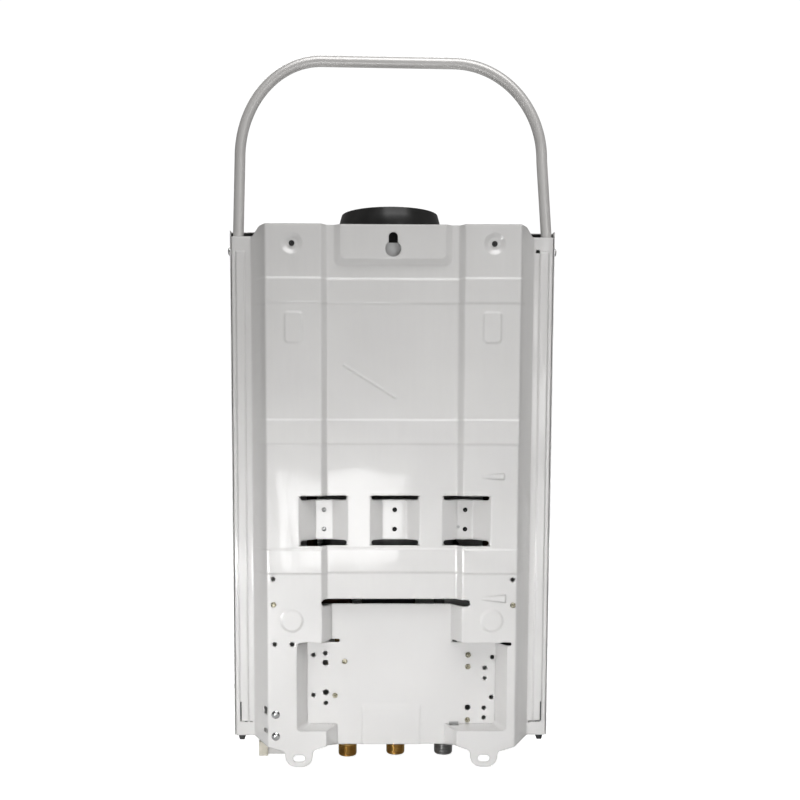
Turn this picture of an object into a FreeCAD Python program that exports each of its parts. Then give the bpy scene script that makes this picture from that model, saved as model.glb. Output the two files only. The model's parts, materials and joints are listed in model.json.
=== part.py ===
import FreeCAD, Part
import math
import os
from FreeCAD import Vector

# Portable instantaneous gas water heater with a carrying handle, seen in the photograph from its wall side.
# Sizes are millimetres. X runs across, Y towards the wall and Z up; the wall plane is Y = 0.
# Heights are written from the back plate's lower edge and moved to the hanging point when a piece is saved.

# Back plate, pressed from one sheet
plate_height = 555.0
plate_half = 133.2
sheet = 1.2
zone_step = 8.0
step_in = 69.5
step_out = 75.0
flank_half = plate_half + 17.0
flank_depth = 25.0
flange_half = flank_half + 20.8
flange_bottom = 6.0
flange_top = 546.0
flange_return = 12.0
band_lift = 1.2
band_width = 24.0
band_ramp = 2.0
band_heights = [202.5, 340.0, 487.0]
wall_ease = 0.45
mass_depth = 70.0

# Hanging hole panel and hanging hole
panel_half = 55.5
panel_bottom = 520.0
panel_level = -3.0
key_slot_width = 9.4
key_slot_top = 547.1
key_hole_radius = 8.2
key_hole_height = 530.1

# Deep recess in the lower half, and the bridges lanced above it
recess_level = -20.0
recess_run = 0.5
recess_top = 154.5
recess_split = 112.2
recess_bottom = 20.3
recess_neck_half = 65.0
recess_left = 92.0
recess_right = -114.0
recess_mouth_half = 59.0
mouth_run = 0.57
slot_half = 79.5
slot_middle_x = -4.0
slot_height = 6.6
strap_middle_x = -3.0
strap_pitch = 76.1
strap_bottom = 219.0
strap_top = 272.0
strap_level = -18.0
strap_face_left = 18.0
strap_face_middle = 26.5
strap_face_right = 17.0
strap_ramp = 17.2
strap_ramp_middle = 13.5
strap_bend = 1.5
strap_slit_top = 4.4
strap_slit_bottom = 5.4
slit_height = 2.0
slit_end_height = 3.6
slit_end_length = 9.0
scoop_height = 1.8
scoop_narrow = 3.2

# Ears below the plate, with their slots
ear_x = 100.0
ear_slot_height = -12.5
ear_slot_length = 12.5
ear_slot_width = 7.3
ear_bottom = -22.0
ear_half = 15.0
ear_radius = 12.0

# Front cover
cover_side_gap = 1.4
cover_half = flange_half + cover_side_gap
cover_sheet = 0.8
cover_front = -150.0
cover_rear = -25.0
cover_bottom = 6.0
cover_top = 552.0
cover_corner = 14.0
cover_tongue_half = 129.0
cover_tongue_gap = 0.6
cover_screw_y = -31.0
cover_screw_height = 60.0
vent_count = 7
vent_pitch = 14.0
vent_bottom = 150.0
vent_height = 4.5
window_half = 34.0
window_low = 205.0
window_high = 229.0
display_half = 27.0
display_low = 133.0
display_high = 157.0

# Carrying handle, a bent steel tube
tube_radius = 5.0
tube_wall = 1.2
handle_top = 728.5
handle_foot = 488.0
handle_corner_radius = 66.0
handle_corner_turn = 62.0
handle_shoulder_radius = 150.0
handle_lean = 5.0
handle_leg = 84.0
handle_kink_radius = 30.0
handle_screw_height = 531.0
running_gap = 0.2

# Flue collar on the cover and the hood below it
flue_x = 2.0
flue_y = -75.0
collar_radius = 51.0
collar_wall = 1.7
collar_top = 577.0
collar_bottom = 540.0
skirt_radius = 56.5
skirt_height = 14.0
skirt_top = 576.0
skirt_wall = 1.2
hood_gap = 0.3
hood_wall = 1.0
hood_half = 88.0
hood_rear = -14.0
hood_front = -132.0
hood_shoulder = 470.0
hood_top = 538.0

# Pipe fittings below the casing, G1/2 male threads
thread_radius = 10.4775
fitting_pitch = 54.5
fitting_middle_x = -6.2
fitting_y = -60.0
fitting_end = -25.0
cold_fitting_end = -27.0
fitting_bore = 7.0
hexagon_radius = 13.9
hexagon_bottom = -9.0
hexagon_height = 12.0
groove_radius = 9.2
groove_top = -11.0
groove_height = 1.6
shoulder_radius = 11.2

# Control knobs on the front, in line with the fittings
knob_height = 95.0
knob_radius = 20.0
knob_depth = 20.0
knob_gap = 0.8
knob_flutes = 12
spindle_radius = 4.0
spindle_gap = 0.05
spindle_end = -96.0

# Valves
valve_front = -112.0
valve_rear = -45.0
valve_half = 14.0
valve_bottom = 12.0
valve_top = 122.0
fitting_top = 12.0
drum_radius = 33.0
chamber_wall = 9.0
diaphragm_x = 20.0
diaphragm_height = 46.0
drain_y = -95.0
diaphragm_y = -78.0
rod_radius = 3.0
rod_tip_x = -13.8
lever_pivot_x = -17.0
lever_pivot_height = 66.0
lever_face_x = -14.2

# Combustion chamber and heat exchanger
chamber_half = 84.0
chamber_rear = -34.0
chamber_front = -126.0
chamber_bottom = 275.0
chamber_top = 432.0
chamber_corner = 12.0
pipe_radius = 6.0
pipe_wall = 1.0
pipe_bend = 9.0
coil_start_y = -100.0
fin_pipe_reach = chamber_half + 8.0
fin_count = 14
fin_thickness = 1.2
fin_bottom = 388.0
fin_top = 426.0

# Burner
blade_count = 8
blade_pitch = 20.0
blade_thickness = 9.0
blade_wall = 1.0
blade_bottom = 168.0
blade_top = 206.0
manifold_y = -138.0
manifold_height = 176.0
foot_height = 229.0
electrode_y = -126.5

# Battery tray at the left of the wall side
tray_left = 147.0
tray_right = 105.0
tray_rear = -40.0
tray_front = -115.6
tray_step = 4.0
tray_bottom = -20.0
tray_cap_top = -12.0
tray_top = 44.0
grip_width = 10.0
grip_bottom = -21.5
grip_top = -4.0
grip_round = 1.8
tray_wall = 1.8
tray_gap = 0.5
cell_radius = 16.6
cell_height = 60.5

# Seals between the flange and the cover
seal_inner = flange_half - 11.0
seal_outer = flange_half - 2.9
seal_bottom = 0.8
seal_top = 478.0
seal_thickness = 4.0

hang_height = key_slot_top - key_slot_width / 2
across = Vector(1, 0, 0)
wallward = Vector(0, 1, 0)
upward = Vector(0, 0, 1)

os.makedirs("parts", exist_ok=True)


def save(name, shape):
    """Writes one sub-part, with the hanging point as its origin."""
    placed = shape.copy()
    placed.translate(Vector(0, 0, -hang_height))
    placed.exportStep("parts/" + name + ".step")


def box(x0, x1, y0, y1, z0, z1):
    return Part.makeBox(x1 - x0, y1 - y0, z1 - z0, Vector(x0, y0, z0))


def rod(radius, start, end):
    return Part.makeCylinder(radius, (end - start).Length, start, end - start)


def mirrored(shape):
    return shape.mirror(Vector(0, 0, 0), across)


def pair(shape):
    """A piece and its mirror image, as two solids of one node."""
    return Part.makeCompound([shape, mirrored(shape)])


def rounded_wire(corners, place):
    """Closed outline through corners (a, b, radius), each rounded by an arc."""
    points = [Vector(a, b, 0) for a, b, radius in corners]
    arcs = []
    for index, (a, b, radius) in enumerate(corners):
        corner = points[index]
        back = (points[index - 1] - corner).normalize()
        on = (points[(index + 1) % len(points)] - corner).normalize()
        half = back.getAngle(on) / 2
        if radius <= 0:
            arcs.append((corner, corner, corner))
            continue
        reach = radius / math.tan(half)
        inward = (back + on).normalize()
        middle = corner + inward * (radius / math.sin(half) - radius)
        arcs.append((corner + back * reach, middle, corner + on * reach))
    edges = []
    for index, (start, middle, end) in enumerate(arcs):
        if (end - start).Length > 1e-6:
            edges.append(Part.Arc(place(start), place(middle), place(end)).toShape())
        following = arcs[(index + 1) % len(arcs)][0]
        if (following - end).Length > 1e-6:
            edges.append(Part.makeLine(place(end), place(following)))
    return Part.Wire(edges)


def offset_corners(corners, distance):
    """The same outline, which runs anticlockwise, moved inwards by a distance."""
    count = len(corners)
    moved = []
    for index, (a, b, radius) in enumerate(corners):
        corner = Vector(a, b, 0)
        before = (corner - Vector(*corners[index - 1][:2], 0)).normalize()
        after = (Vector(*corners[(index + 1) % count][:2], 0) - corner).normalize()
        normal_before = Vector(-before.y, before.x, 0)
        normal_after = Vector(-after.y, after.x, 0)
        inward = normal_before + normal_after
        shift = inward * (distance / (1 + normal_before.dot(normal_after)))
        turns_left = before.cross(after).z > 0
        bend = radius - distance if turns_left else radius + distance
        moved.append((a + shift.x, b + shift.y, bend if radius > 0 else 0))
    return moved


def in_plan(height):
    return lambda point: Vector(point.x, point.y, height)


def on_wall(level):
    return lambda point: Vector(point.x, level, point.y)


def prism_on_wall(corners, level, depth):
    """Outline drawn in X and Z, from a level along +Y."""
    return Part.Face(rounded_wire(corners, on_wall(level))).extrude(Vector(0, depth, 0))


def rectangle(x0, x1, z0, z1, radius):
    return [(x1, z0, radius), (x1, z1, radius), (x0, z1, radius), (x0, z0, radius)]


def slot_through(x0, x1, z0, z1, level=-40.0, depth=60.0):
    """Cutter with round ends, for a slot along X or Z."""
    radius = 0.499 * min(x1 - x0, z1 - z0)
    return prism_on_wall(rectangle(x0, x1, z0, z1, radius), level, depth)


def hole_through(x, z, radius):
    return Part.makeCylinder(radius, 60.0, Vector(x, -40, z), wallward)


def taper_block(rect, level, slopes, low, high, radius):
    """Block whose rounded rectangle grows on each side by its slope with Y."""
    x0, x1, z0, z1 = rect
    wires = []
    for y in (low, high):
        rise = y - level
        corners = rectangle(x0 - slopes[0] * rise, x1 + slopes[1] * rise,
                            z0 - slopes[2] * rise, z1 + slopes[3] * rise, radius)
        wires.append(rounded_wire(corners, on_wall(y)))
    return Part.makeLoft(wires, True, True)


def pad(mass, rect, level, base, slopes, gauge, radius=5.0):
    """A raised flat with sloped sides, on the outside or the inside of the sheet."""
    x0, x1, z0, z1 = rect
    ease = wall_ease * gauge
    inner = (x0 + ease, x1 - ease, z0 + ease, z1 - ease)
    block = taper_block(inner, level - gauge, [-slope for slope in slopes], base - gauge, level - gauge, radius)
    return mass.fuse(block)


def pocket(mass, rect, level, slopes, gauge, radius=5.0, lanced=(0, 0, 0, 0), mouth=6.0):
    """A sunk flat; a lanced side is open, so its inside ends short of its outside."""
    ease = [-0.5 if cut else wall_ease for cut in lanced]
    x0, x1, z0, z1 = rect
    inner = (x0 - ease[0] * gauge, x1 + ease[1] * gauge, z0 - ease[2] * gauge, z1 + ease[3] * gauge)
    return mass.cut(taper_block(inner, level - gauge, slopes, level - gauge, mouth, radius))


def plate_section(lift):
    """Outside of the plate across its width, anticlockwise from the right flange."""
    right = [
        (flange_half, -flank_depth, 1.8),
        (flank_half, -flank_depth, 2.0),
        (plate_half, lift, 3.0),
        (step_out, lift, 2.5),
        (step_in, lift - zone_step, 2.5),
    ]
    left = [(-x, y, radius) for x, y, radius in reversed(right)]
    return right + left + [(-flange_half, -mass_depth, 0), (flange_half, -mass_depth, 0)]


def pressed_mass(gauge):
    """Everything on the casing side of the plate's outside, or of its inside when gauge is the sheet."""
    stations = [(-40.0 - gauge, 0)]
    for middle in band_heights:
        low = middle - band_width / 2
        high = middle + band_width / 2
        stations += [(low - band_ramp, 0), (low, band_lift), (high, band_lift), (high + band_ramp, 0)]
    stations.append((plate_height + 10.0 + gauge, 0))
    wires = []
    for height, lift in stations:
        corners = offset_corners(plate_section(lift), gauge)
        wires.append(rounded_wire(corners, in_plan(height)))
    mass = Part.makeLoft(wires, True, True)

    panel = (-panel_half, panel_half, panel_bottom, plate_height + 30.0)
    mass = pad(mass, panel, panel_level, -zone_step - 2.0, [1.2] * 4, gauge, 6.0)
    for side in (-1, 1):
        emboss = (side * 104.0 - 8.5, side * 104.0 + 8.5, 434.0, 464.0)
        mass = pad(mass, emboss, 1.2, -1.5, [1.2] * 4, gauge, 4.0)
        rib = (side * 161.5 - 4.0, side * 161.5 + 4.0, 23.0, 530.0)
        mass = pad(mass, rib, 1.6 - flank_depth, -flank_depth - 2.0, [0.8] * 4, gauge, 1.5)
        disc_base = Vector(side * 107.0, -1.0 - gauge, 138.5)
        mass = mass.fuse(Part.makeCone(15.1, 10.5, 2.0, disc_base, wallward))
        dimple_base = Vector(side * dimple_x, -dimple_depth - gauge, dimple_height)
        mass = mass.cut(Part.makeCone(6.2, 15.8, dimple_depth + 2.4, dimple_base, wallward))
        edge = (side * (recess_mouth_half - 4.0), side * (step_out + 4.0))
        fill = box(min(edge), max(edge), -40.0 - gauge, -gauge, -60.0, recess_bottom + 6.0)
        mass = mass.fuse(fill)
    for rect in scoops:
        mass = mass.fuse(scoop(rect, gauge))

    neck = (-recess_neck_half, recess_neck_half, recess_split - 15.0, recess_top)
    run = recess_run
    mass = pocket(mass, neck, recess_level, [run, run, 0.1, 0.1], gauge, 3.0, (0, 0, 0, 1))
    chest = (recess_right, recess_left, recess_bottom, recess_split)
    mass = pocket(mass, chest, recess_level, [run, run, 0.13, 0.1], gauge, 4.0, (0, 0, 0, 1))
    mouth = (-recess_mouth_half, recess_mouth_half, -60.0, recess_bottom + 12.0)
    mass = pocket(mass, mouth, recess_level, [mouth_run, mouth_run, 0.1, 0.1], gauge, 3.0)
    label_flat = (-31.0, 31.0, -60.0, 36.0)
    mass = pad(mass, label_flat, recess_level + 1.0, recess_level - 1.0, [1.5, 1.5, 1.5, 7.5], gauge, 2.5)

    for span in strap_spans():
        mass = mass.cut(strap_space(span, gauge))
    return mass


def scoop(rect, gauge):
    """Tapered scoop, low and narrow at its inner end and high and wide at its outer end."""
    inner_x, outer_x, low, high = rect
    ease = wall_ease * gauge
    middle = (low + high) / 2
    wires = []
    for x, half, rise in ((inner_x - ease, scoop_narrow / 2, 0.3), (outer_x + ease, (high - low) / 2, scoop_height)):
        foot = half - ease
        points = [Vector(x, -gauge - 1.0, middle - foot), Vector(x, rise - gauge, middle - foot * 0.8),
                  Vector(x, rise - gauge, middle + foot * 0.8), Vector(x, -gauge - 1.0, middle + foot)]
        wires.append(Part.makePolygon(points + [points[0]]))
    return Part.makeLoft(wires, True, True)


def strap_spans():
    """For each lanced bridge: both ends of its flat face, the run of its ramps and how deep each ramp goes."""
    faces = {-1: strap_face_right, 0: strap_face_middle, 1: strap_face_left}
    spans = []
    for index, face in faces.items():
        centre = strap_middle_x + index * strap_pitch
        ramp = strap_ramp if index else strap_ramp_middle
        low_depth = -strap_level if index < 0 else -strap_level - zone_step
        high_depth = -strap_level if index > 0 else -strap_level - zone_step
        spans.append((centre - face / 2, centre + face / 2, ramp, low_depth, high_depth))
    return spans


def strap_space(span, gauge):
    """The space on the wall side of one bridge, between its two slits."""
    x0, x1, ramp, low_depth, high_depth = span
    level = strap_level - gauge
    ease = wall_ease * gauge
    mouth = 6.0
    rise = mouth - level
    corners = [(x1 + ease, level, strap_bend), (x1 + ease + ramp / high_depth * rise, mouth, 0),
               (x0 - ease - ramp / low_depth * rise, mouth, 0), (x0 - ease, level, strap_bend)]
    short = 0.5 * gauge
    face = Part.Face(rounded_wire(corners, in_plan(strap_bottom + short)))
    return face.extrude(Vector(0, 0, strap_top - strap_bottom - 2 * short))


def lanced_slit(x0, x1, height):
    """Slit with longer, fatter ends."""
    fat = slit_end_height / 2
    thin = slit_height / 2
    taper = slit_end_length + 5.0
    low = [(x0, -fat, 1.2), (x0 + slit_end_length, -fat, 2.0), (x0 + taper, -thin, 2.0),
           (x1 - taper, -thin, 2.0), (x1 - slit_end_length, -fat, 2.0), (x1, -fat, 1.2)]
    high = [(x, -z, radius) for x, z, radius in reversed(low)]
    corners = [(x, height + z, radius) for x, z, radius in low + high]
    return prism_on_wall(corners, -40.0, 60.0)


def plate_outline():
    """Outline of the plate seen from the wall, with its ears."""
    half = [
        (recess_mouth_half + 1.0, -2.6, 1.0),
        (recess_mouth_half + 10.0, 1.5, 2.0),
        (ear_x - ear_half - 0.5, -4.0, 5.0),
        (ear_x - ear_half + 1.0, ear_bottom, ear_radius),
        (ear_x + ear_half - 1.0, ear_bottom, ear_radius),
        (ear_x + ear_half + 0.5, -5.5, 4.0),
        (plate_half, 0.0, 1.5),
        (flank_half + 1.0, flange_bottom, 1.5),
        (flange_half + 1.0, flange_bottom, 0),
        (flange_half + 1.0, flange_top, 0),
        (flank_half - 2.0, flange_top, 2.0),
        (plate_half + 7.0, plate_height - 1.0, 5.0),
        (plate_half - 1.0, plate_height, 1.5),
    ]
    other = [(-x, z, radius) for x, z, radius in reversed(half)]
    return half + other


small_hole = 2.4
large_hole = 3.1
left_holes = [(85.0, 97.0, small_hole), (72.0, 99.0, small_hole), (72.0, 88.5, large_hole),
              (85.0, 52.5, small_hole), (71.5, 55.5, large_hole), (71.5, 43.5, small_hole)]
right_holes = [(-110.5, 94.5, small_hole), (-102.5, 82.5, small_hole), (-102.5, 71.0, 2.0),
               (-110.0, 50.0, small_hole), (-84.0, 38.5, large_hole), (-102.0, 38.0, small_hole),
               (-102.0, 27.0, small_hole)]
rim_holes = [(127.0, 183.5, small_hole), (125.5, 113.0, small_hole), (107.0, 113.0, small_hole),
             (-129.0, 183.0, small_hole)]
left_screws = [(51.0, 90.0), (61.5, 52.0)]
right_screws = [(-84.0, 97.0), (-84.0, 84.0), (-84.0, 24.5)]
rim_screws = [(126.5, 156.0), (-129.5, 155.5)]
dimple_x = 105.6
dimple_height = 535.3
dimple_depth = 2.6
corner_rivets = [(125.0, 36.0), (125.0, 12.0)]
scoops = [(-94.6, -118.3, 289.5, 297.0), (-96.4, -121.5, 158.0, 167.0)]
screw_hole = 2.2
screw_head = 2.9
screw_shank = 2.0
rivet_shank = 2.0
blind_rivet_radius = 2.5
blind_rivet_bore = 1.1
corner_rivet_radius = 4.6


def strap_rivet_places():
    places = []
    for index in (-1, 0, 1):
        for height in (235.5, 256.5):
            places.append((strap_middle_x + index * strap_pitch, height))
    return places


def dimple_places():
    return [(dimple_x, dimple_height), (-dimple_x, dimple_height)]


def back_plate():
    outside = pressed_mass(0.0)
    inside = pressed_mass(sheet)
    depth = flank_depth + flange_return
    blank = prism_on_wall(plate_outline(), -depth, depth + 10.0)
    plate = outside.cut(inside).common(blank)

    cutters = [slot_through(slot_middle_x - slot_half, slot_middle_x + slot_half, recess_top - 0.6, recess_top + slot_height)]
    for face_low, face_high, ramp, low_depth, high_depth in strap_spans():
        x0 = face_low - ramp + 1.7
        x1 = face_high + ramp - 1.7
        cutters.append(slot_through(x0, x1, strap_top - strap_slit_top, strap_top + 0.4))
        cutters.append(slot_through(x0, x1, strap_bottom + 0.5, strap_bottom + strap_slit_bottom))
    for x0, x1 in ((56.5, 94.5), (-128.5, -66.5)):
        cutters.append(lanced_slit(x0, x1, recess_split + 1.0))
    key_slot = slot_through(-key_slot_width / 2, key_slot_width / 2, key_hole_height, key_slot_top)
    cutters += [key_slot, hole_through(0, key_hole_height, key_hole_radius)]
    for side in (-1, 1):
        x = side * ear_x
        cutters.append(slot_through(x - ear_slot_length / 2, x + ear_slot_length / 2,
                                    ear_slot_height - ear_slot_width / 2, ear_slot_height + ear_slot_width / 2))
        edge = side * 165.2
        cutters.append(box(edge - 0.7, edge + 0.7, -40, -20, 22.0, 44.0))
        screw_end = side * flange_half
        hole_start = Vector(screw_end - side * 20.0, handle_y(), handle_screw_height)
        cutters.append(rod(screw_hole + 0.4, hole_start, hole_start + across * side * 30.0))
        hole_start = Vector(screw_end - side * 20.0, cover_screw_y, cover_screw_height)
        cutters.append(rod(screw_hole, hole_start, hole_start + across * side * 30.0))
    for x0, x1, z0, z1 in ((-165.0, -152.0, 21.0, 22.0), (-153.0, -152.0, 19.6, 22.0),
                           (152.5, 155.5, 21.0, 21.7), (158.0, 161.0, 21.0, 21.7)):
        cutters.append(box(x0, x1, -40, -20, z0, z1))
    cutters.append(box(-74.0, -64.0, -40, 10, 19.5, 22.5))
    for height, length in ((36.0, 8.0), (15.5, 4.5)):
        cutters.append(box(130.5, 139.0, -8.0, -1.6, height, height + length))
    for x, z, radius in left_holes + right_holes + rim_holes:
        cutters.append(hole_through(x, z, radius))
    for x, z in left_screws + right_screws + rim_screws + dimple_places() + corner_rivets:
        cutters.append(hole_through(x, z, screw_hole))
    for x, z in strap_rivet_places():
        cutters.append(hole_through(x, z, screw_hole))
    cutters.append(hole_through(-71.6, 238.0, 1.6))
    cutters.append(box(-156.5, -152.5, -40, -20, 529.5, 533.0))
    plate = plate.cut(cutters)
    bead = diagonal_bead()
    return plate.fuse(bead).removeSplitter()


def diagonal_bead():
    """Short stiffening bead pressed across the middle of the plate."""
    start = Vector(51.0, -zone_step - 0.5, 410.5)
    end = Vector(-3.0, -zone_step - 0.5, 376.5)
    bead = rod(1.7, start, end).fuse([Part.makeSphere(1.7, start), Part.makeSphere(1.7, end)])
    return bead.common(box(-60, 60, -zone_step - 0.6, 0, 300, 450))


def handle_y():
    return -flank_depth - sheet - running_gap - tube_radius


def cover_block(inset):
    """The cover's outside, or its inside when inset is the sheet."""
    block = box(-cover_half + inset, cover_half - inset, cover_front + inset, cover_rear + inset * 10,
                cover_bottom + inset, cover_top - inset)
    front_edges = []
    for edge in block.Edges:
        centre = edge.CenterOfMass
        if abs(centre.y - (cover_front + inset)) < 1e-3:
            front_edges.append(edge)
    return block.makeFillet(cover_corner - inset, front_edges)


def cover_cutters():
    """Openings in the cover: flue, controls, window, display, vents, pipes, tray and screws."""
    cutters = [Part.makeCylinder(collar_radius + hood_gap, 40, Vector(flue_x, flue_y, cover_top - 20), upward)]
    rear_notch = [(plate_half - 3.0, -10.8, 0), (plate_half + 8.0, -34.0, 0), (cover_half - cover_sheet, -38.0, 0),
                  (cover_half - cover_sheet, 0.0, 0), (plate_half - 3.0, 0.0, 0)]
    notch = Part.Face(rounded_wire(rear_notch, in_plan(cover_top - 10))).extrude(Vector(0, 0, 20))
    cutters += [notch, mirrored(notch)]
    return_end = -flank_depth - flange_return - running_gap
    inner_half = cover_half - cover_sheet
    cutters.append(box(-inner_half, inner_half, return_end, 0, cover_bottom - 5, cover_bottom + cover_sheet))
    cutters.append(Part.makeCylinder(4.6, 20, Vector(drain_x(), drain_y, cover_bottom - 8), upward))
    for x in fitting_places():
        cutters.append(Part.makeCylinder(15.0, 20, Vector(x, fitting_y, cover_bottom - 8), upward))
        start = Vector(x, cover_front - 5, knob_height)
        cutters.append(Part.makeCylinder(spindle_radius + 1.5, 20, start, wallward))
    cutters.append(box(tray_right - 4.0, tray_left + 4.0, tray_front - 4.0, -30.0, cover_bottom - 5, cover_bottom + 3))
    window = prism_on_wall(rectangle(-window_half, window_half, window_low, window_high, 9.0), cover_front - 5, 15)
    display = prism_on_wall(rectangle(-display_half, display_half, display_low, display_high, 3.0),
                            cover_front - 5, 15)
    cutters += [window, display]
    for side in (-1, 1):
        for index in range(vent_count):
            height = vent_bottom + index * vent_pitch
            x = side * (cover_half - 10)
            slot = box(-20, 20, -120.0, -80.0, height, height + vent_height)
            slot.translate(Vector(x, 0, 0))
            cutters.append(slot)
        hole_start = Vector(side * (cover_half - 15), handle_y(), handle_screw_height)
        cutters.append(rod(screw_hole + 0.4, hole_start, hole_start + across * side * 30))
        start = Vector(side * (cover_half - 15), cover_screw_y, cover_screw_height)
        cutters.append(rod(screw_hole, start, start + across * side * 30))
    return cutters


def front_cover():
    shell = cover_block(0.0).cut(cover_block(cover_sheet))
    tongue_end = -zone_step - sheet - cover_tongue_gap
    tongue = box(-cover_tongue_half, cover_tongue_half, cover_rear - 1.0, tongue_end, cover_top - cover_sheet, cover_top)
    return shell.fuse(tongue).cut(cover_cutters()).fuse(taper_frame()).removeSplitter()


def taper_frame():
    """Raised border pressed around the control panel on the front."""
    outer = prism_on_wall(rectangle(-110.0, 110.0, 60.0, 186.0, 12.0), cover_front - 1.2, 1.4)
    inner = prism_on_wall(rectangle(-106.0, 106.0, 64.0, 182.0, 8.0), cover_front - 2.0, 3.0)
    return outer.cut(inner)


def fitting_places():
    return [fitting_middle_x + index * fitting_pitch for index in (-1, 0, 1)]


def drain_x():
    return fitting_places()[2]


def handle_path(offset=0.0):
    """Centre line of the tube, from one foot over the top to the other."""
    y = handle_y()
    lean = math.radians(90.0 - handle_lean)
    turn = math.radians(handle_corner_turn)
    reach = handle_corner_radius * math.sin(turn)
    reach += handle_shoulder_radius * (math.sin(lean) - math.sin(turn))
    reach += handle_leg * math.cos(lean) + handle_kink_radius * (1 - math.sin(lean))
    foot_x = flange_half - sheet - running_gap - tube_radius
    flat = foot_x - reach

    def arc(start, angle_from, angle_to, radius, outward=1):
        """Arc that starts in one direction below +X and ends in another."""
        points = []
        for share in (0.0, 0.5, 1.0):
            angle = angle_from + share * (angle_to - angle_from)
            x = start.x + radius * (math.sin(angle) - math.sin(angle_from)) * outward
            z = start.z - radius * (math.cos(angle_from) - math.cos(angle)) * outward
            points.append(Vector(x, y, z))
        return Part.Arc(*points).toShape(), points[-1]

    edges = []
    corner = Vector(flat, y, handle_top)
    first, point = arc(corner, 0.0, turn, handle_corner_radius)
    second, point = arc(point, turn, lean, handle_shoulder_radius)
    leg_end = point + Vector(math.cos(lean), 0, -math.sin(lean)) * handle_leg
    leg = Part.makeLine(point, leg_end)
    kink, point = arc(leg_end, lean, math.radians(90.0), handle_kink_radius)
    foot = Part.makeLine(point, Vector(point.x, y, handle_foot))
    half = [first, second, leg, kink, foot]
    edges.append(Part.makeLine(Vector(-flat, y, handle_top), corner))
    edges += half
    other = [mirrored(edge) for edge in half]
    return Part.Wire(Part.__sortEdges__(edges + other))


def swept(path, radius, bore=0.0):
    """Round bar or pipe along a path of lines and arcs, made of straight and turned lengths."""
    lengths = []
    for edge in path.Edges:
        start = edge.valueAt(edge.FirstParameter)
        heading = edge.tangentAt(edge.FirstParameter)
        section = Part.Face(Part.Wire(Part.makeCircle(radius, start, heading)))
        if bore > 0:
            section = section.cut(Part.Face(Part.Wire(Part.makeCircle(bore, start, heading)))).Faces[0]
        if isinstance(edge.Curve, Part.Circle):
            turn = math.degrees(edge.LastParameter - edge.FirstParameter)
            lengths.append(section.revolve(edge.Curve.Center, edge.Curve.Axis, turn))
        else:
            lengths.append(section.extrude(edge.valueAt(edge.LastParameter) - start))
    return lengths[0].fuse(lengths[1:]).removeSplitter()


def handle_tube():
    tube = swept(handle_path(), tube_radius, tube_radius - tube_wall)
    for side in (-1, 1):
        start = Vector(side * (flange_half - 15), handle_y(), handle_screw_height)
        tube = tube.cut(rod(screw_shank + 0.45, start, start + across * side * 20))
    return tube


def screw(head, direction, length, head_radius=4.4, head_height=2.6, shank=screw_shank):
    """Pan head screw: head is the point where the head meets its seat, direction runs along the shank."""
    rim = head_height * 0.45
    body = Part.makeCylinder(head_radius, rim, head - direction * rim, direction)
    crown = Part.makeCone(head_radius, head_radius * 0.62, head_height - rim, head - direction * rim, direction * -1)
    thread = Part.makeCylinder(shank, length, head, direction)
    return body.fuse([crown, thread]).removeSplitter()


def group(shapes):
    return Part.makeCompound(shapes)


def handle_screws():
    start = Vector(cover_half, handle_y(), handle_screw_height)
    return pair(screw(start, across * -1, cover_half - flange_half + 9.0, 4.6, 2.4, screw_shank + 0.4))


def cover_screws():
    start = Vector(cover_half, cover_screw_y, cover_screw_height)
    return pair(screw(start, across * -1, cover_half - seal_outer - running_gap, 4.0, 0.8, screw_shank))


def flue_collar():
    """Spigot with a skirt that flares down to the cover, turned from one profile."""
    inner = collar_radius - collar_wall
    skirt_shoulder = cover_top + skirt_height
    slope = (skirt_radius - collar_radius) / (skirt_top - skirt_shoulder)
    drop = skirt_wall / math.sin(math.atan(slope))
    profile = [
        (inner, collar_bottom), (collar_radius, collar_bottom), (collar_radius, skirt_top - drop),
        (skirt_radius - skirt_wall, skirt_top - drop - (skirt_radius - skirt_wall - collar_radius) / slope),
        (skirt_radius - skirt_wall, cover_top), (skirt_radius, cover_top), (skirt_radius, skirt_shoulder),
        (collar_radius, skirt_top), (collar_radius, collar_top - 0.8), (collar_radius - 0.8, collar_top),
        (inner, collar_top),
    ]
    points = [Vector(x, 0, z) for x, z in profile]
    face = Part.Face(Part.makePolygon(points + [points[0]]))
    collar = face.revolve(Vector(0, 0, 0), upward, 360)
    collar.translate(Vector(flue_x, flue_y, 0))
    return collar


def hood_layer(inset):
    """Outside of the hood, or its inside: a box that widens above the chamber, with a round neck."""
    low = (chamber_half + 2.0, chamber_front - 2.0, chamber_rear + 2.0)
    high = (hood_half, hood_front, hood_rear)
    stations = [(low, chamber_top - 8.0 - inset), (low, chamber_top + 8.0), (high, hood_shoulder), (high, hood_top - inset)]
    wires = []
    for (half, front, rear), height in stations:
        x = half - inset
        points = [Vector(x, front + inset, height), Vector(x, rear - inset, height),
                  Vector(-x, rear - inset, height), Vector(-x, front + inset, height)]
        wires.append(Part.makePolygon(points + [points[0]]))
    body = Part.makeLoft(wires, True, True)
    neck = collar_radius - collar_wall - hood_gap - inset
    neck_height = collar_bottom + 14.0 - hood_top + inset
    throat = Part.makeCylinder(neck, neck_height, Vector(flue_x, flue_y, hood_top - 6.0), upward)
    return body.fuse(throat)


def flue_hood():
    hood = hood_layer(0.0).cut(hood_layer(hood_wall))
    return hood.removeSplitter()


def chamber_layer(inset, extra):
    corners = [(chamber_half - inset, chamber_front + inset, chamber_corner - inset),
               (chamber_half - inset, chamber_rear - inset, chamber_corner - inset),
               (-chamber_half + inset, chamber_rear - inset, chamber_corner - inset),
               (-chamber_half + inset, chamber_front + inset, chamber_corner - inset)]
    face = Part.Face(rounded_wire(corners, in_plan(chamber_bottom - extra)))
    return face.extrude(Vector(0, 0, chamber_top - chamber_bottom + 2 * extra))


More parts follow.
